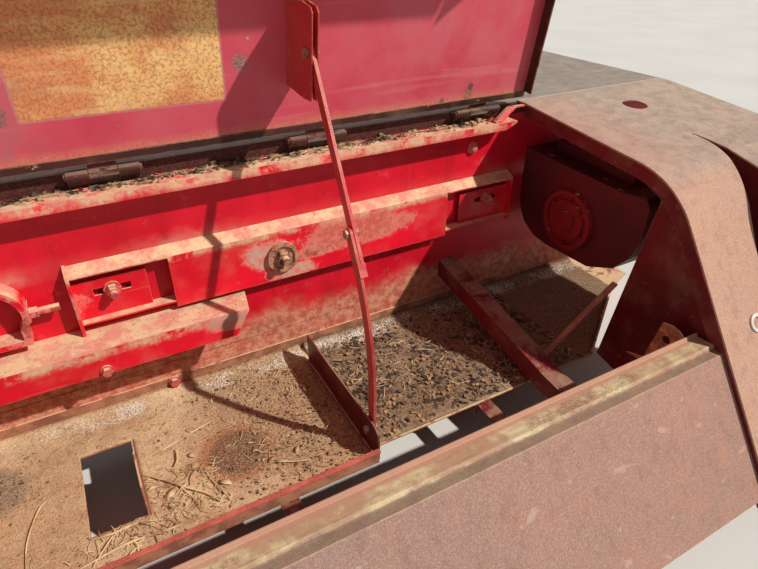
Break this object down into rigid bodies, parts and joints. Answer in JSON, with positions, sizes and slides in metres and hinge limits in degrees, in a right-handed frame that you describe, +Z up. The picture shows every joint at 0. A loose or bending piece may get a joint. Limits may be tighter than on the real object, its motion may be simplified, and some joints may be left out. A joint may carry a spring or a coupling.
{
  "type": "square baler twine box",
  "caption": "Sheet-metal twine box from the side of a square baler: curved hinged lid on a folding stay, tray with a divider, rails on the bale-case wall and a hood over a gearbox.",
  "frame": {"origin": "centre of the four bolt holes, on the back face of the bale-case wall", "axes": "+X along the box towards the gearbox hood, +Y out of the wall's back towards the bale case, +Z up"},
  "size_m": [1.7, 1.1416, 1.0454],
  "materials": {
    "red_paint": "faded gloss with dust and scratches",
    "shaded_paint": "matt with dust",
    "rusty_sheet": "matt, paint worn to rust",
    "weathered_paint": "matt, sun-bleached paint over rust",
    "worn_steel": "dull, lightly rusted",
    "painted_casting": "matt paint on a rough casting",
    "white_plastic": "matt"
  },
  "bodies": {
    "box": {"case_wall": "red_paint", "top_ledge": "red_paint", "ledge_strap": "red_paint", "slide_channel": "red_paint", "recess_left": "red_paint", "recess_right": "shaded_paint", "slide_bolts": "worn_steel", "bearing_boss": "worn_steel", "lower_rail": "red_paint", "rail_bolt": "rusty_sheet", "stop_strap": "red_paint", "stop_rod": "red_paint", "rail_wedge": "red_paint", "tray": "rusty_sheet", "tray_bolt": "rusty_sheet", "divider": "shaded_paint", "divider_nut": "worn_steel", "tray_hangers": "shaded_paint", "cross_beam": "shaded_paint", "front_panel": "weathered_paint", "panel_braces": "shaded_paint", "left_end_plate": "rusty_sheet", "hood_skin": "weathered_paint", "hood_rim": "shaded_paint", "outer_cover": "weathered_paint", "cover_side": "shaded_paint", "hood_end_rim": "shaded_paint", "deck_plate": "weathered_paint", "side_gusset": "shaded_paint", "corner_strap": "rusty_sheet", "corner_bracket": "weathered_paint", "latch_ring": "white_plastic", "gearbox_case": "painted_casting", "gearbox_cover": "painted_casting", "gearbox_cap": "painted_casting", "gearbox_shaft": "worn_steel", "hinge_leaves": "red_paint", "hinge_pins": "worn_steel"},
    "lid": {"lid_panel": "red_paint", "lid_edges": "red_paint", "lid_hinge_leaves": "red_paint", "lid_bracket": "red_paint", "lid_pin": "worn_steel"},
    "stay_upper": {"stay_upper": "red_paint", "knee_bolt": "worn_steel"},
    "stay_lower": {"stay_lower": "red_paint", "foot_bolt": "worn_steel"}
  },
  "joints": [
    {"name": "lid_hinge", "type": "hinge", "parent": "box", "child": "lid", "pos_m": [0, -0.021, 0.23], "axis": [1, 0, 0], "range_deg": [0, 87]},
    {"name": "stay_fold", "type": "hinge", "parent": "lid", "child": "stay_upper", "pos_m": [0.1195, -0.12881, 0.38714], "axis": [1, 0, 0], "range_deg": [-126.2, 0]},
    {"name": "stay_knee", "type": "hinge", "parent": "stay_upper", "child": "stay_lower", "pos_m": [0.1135, -0.24891, 0.15823], "axis": [1, 0, 0], "range_deg": [0, 52.3]}
  ],
  "couplings": [
    {"joint": "stay_fold", "follows": "lid_hinge", "ratio": -1.45},
    {"joint": "stay_knee", "follows": "lid_hinge", "ratio": 0.6}
  ]
}
